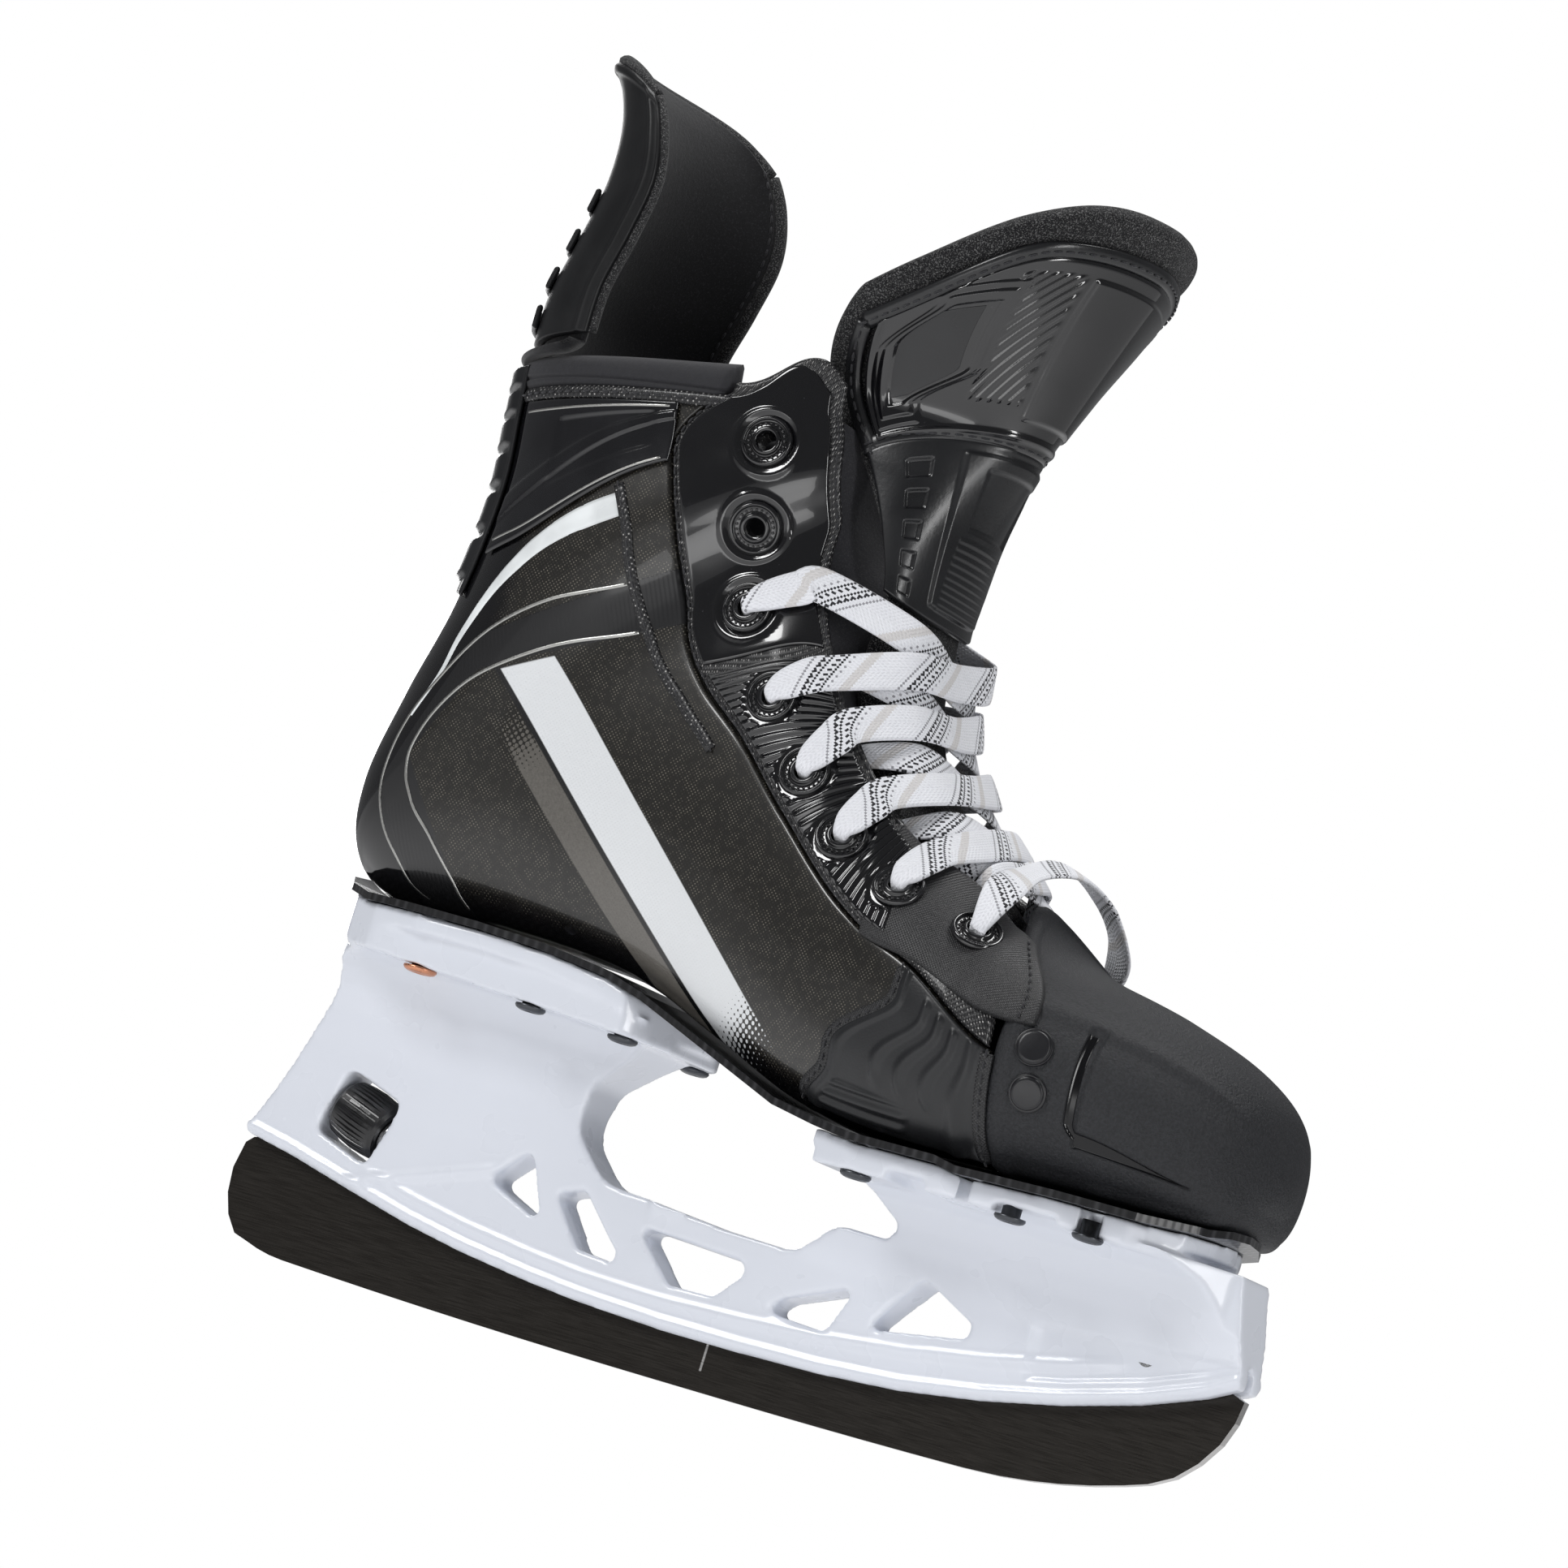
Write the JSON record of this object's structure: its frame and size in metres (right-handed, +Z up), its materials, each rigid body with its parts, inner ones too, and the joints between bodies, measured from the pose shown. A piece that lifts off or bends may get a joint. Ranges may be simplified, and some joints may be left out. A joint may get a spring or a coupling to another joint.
{
  "type": "ice hockey skate",
  "caption": "Right ice hockey skate: laced black boot with tongue and tendon guard, white blade holder and a quick-release steel runner worked by a dial.",
  "frame": {"origin": "on the ice under the middle of the runner, at the flat of the rocker", "axes": "+X to the toe, +Z up from the ice, +Y to the inner side of the foot"},
  "size_m": [0.288, 0.1014, 0.3228],
  "materials": {
    "white_plastic": "gloss moulded nylon",
    "black_steel": "satin black coated stainless steel, fine grind along its length",
    "steel": "plain turned steel",
    "dial_plastic": "satin moulded plastic, ribbed",
    "black_composite": "gloss black over a fine dark brown dotted weave",
    "dark_rivet": "dark coated steel",
    "copper": "bare copper",
    "lining": "matte microfibre lining",
    "toe_plastic": "matte pebble grain",
    "stud_plastic": "satin",
    "overlay_rubber": "matte moulded rubber with ribs",
    "badge_plastic": "gloss moulded plate",
    "facing_plastic": "gloss panel, ribbed below the ankle, mesh binding",
    "eyelet_black": "gloss black enamel",
    "guard_plastic": "satin moulded plastic",
    "padding": "matte padded synthetic, stitched",
    "felt": "speckled black felt",
    "tongue_plastic": "gloss moulded plates",
    "tongue_matte": "satin moulded plate with fine ribs",
    "velour": "brushed velour",
    "lace": "white tubular weave with black ticks",
    "lace_tip": "plain"
  },
  "bodies": {
    "boot": {"holder": "white_plastic", "front_hook_pin": "steel", "dial_washers": "steel", "outsole": "black_composite", "front_rivets": "dark_rivet", "rear_rivets": "dark_rivet", "copper_rivets": "copper", "quarter_shell": "black_composite", "ankle_liner": "lining", "footbed": "lining", "toe_cap": "toe_plastic", "toe_liner": "lining", "toe_cap_studs": "stud_plastic", "forefoot_overlay_lateral": "overlay_rubber", "forefoot_overlay_medial": "overlay_rubber", "ankle_badge_lateral": "badge_plastic", "ankle_badge_medial": "badge_plastic", "facing_lateral": "facing_plastic", "facing_medial": "facing_plastic", "eyelets_lateral": "eyelet_black", "eyelets_medial": "eyelet_black", "top_eyelet_lateral": "eyelet_black", "top_eyelet_medial": "eyelet_black", "heel_spine": "guard_plastic", "collar_padding": "padding", "tongue_lower": "felt", "lace": "lace", "lace_tips": "lace_tip"},
    "runner": {"runner": "black_steel"},
    "dial": {"dial": "dial_plastic"},
    "drawbolt": {"drawbolt": "steel"},
    "tongue": {"tongue_felt": "felt", "tongue_shell": "tongue_plastic", "tongue_plate": "tongue_matte"},
    "tendon_guard": {"guard_shell": "guard_plastic", "guard_liner": "velour", "guard_ribs": "guard_plastic"}
  },
  "joints": [
    {"name": "dial_turn", "type": "hinge", "parent": "boot", "child": "dial", "pos_m": [-0.1105, 0, 0.0423], "axis": [0.9511, 0, -0.309], "range_deg": [0, 1440]},
    {"name": "drawbolt_slide", "type": "slide", "parent": "boot", "child": "drawbolt", "axis": [0.9511, 0, -0.309], "range_m": [0, 0.005]},
    {"name": "runner_release", "type": "hinge", "parent": "boot", "child": "runner", "pos_m": [0.118, 0, 0.0385], "axis": [0, -1, 0], "range_deg": [0, 1.6]},
    {"name": "tongue_flex", "type": "hinge", "parent": "boot", "child": "tongue", "pos_m": [0.008, 0, 0.194], "axis": [0, 1, 0], "range_deg": [-4, 28], "stiffness_Nm_per_rad": 1},
    {"name": "tendon_guard_flex", "type": "hinge", "parent": "boot", "child": "tendon_guard", "pos_m": [-0.1245, 0, 0.2415], "axis": [0, 1, 0], "range_deg": [-25, 8], "stiffness_Nm_per_rad": 2}
  ],
  "couplings": [
    {"joint": "dial_turn", "follows": "runner_release", "ratio": 899.9},
    {"joint": "drawbolt_slide", "follows": "runner_release", "m_per_rad": 0.179}
  ]
}
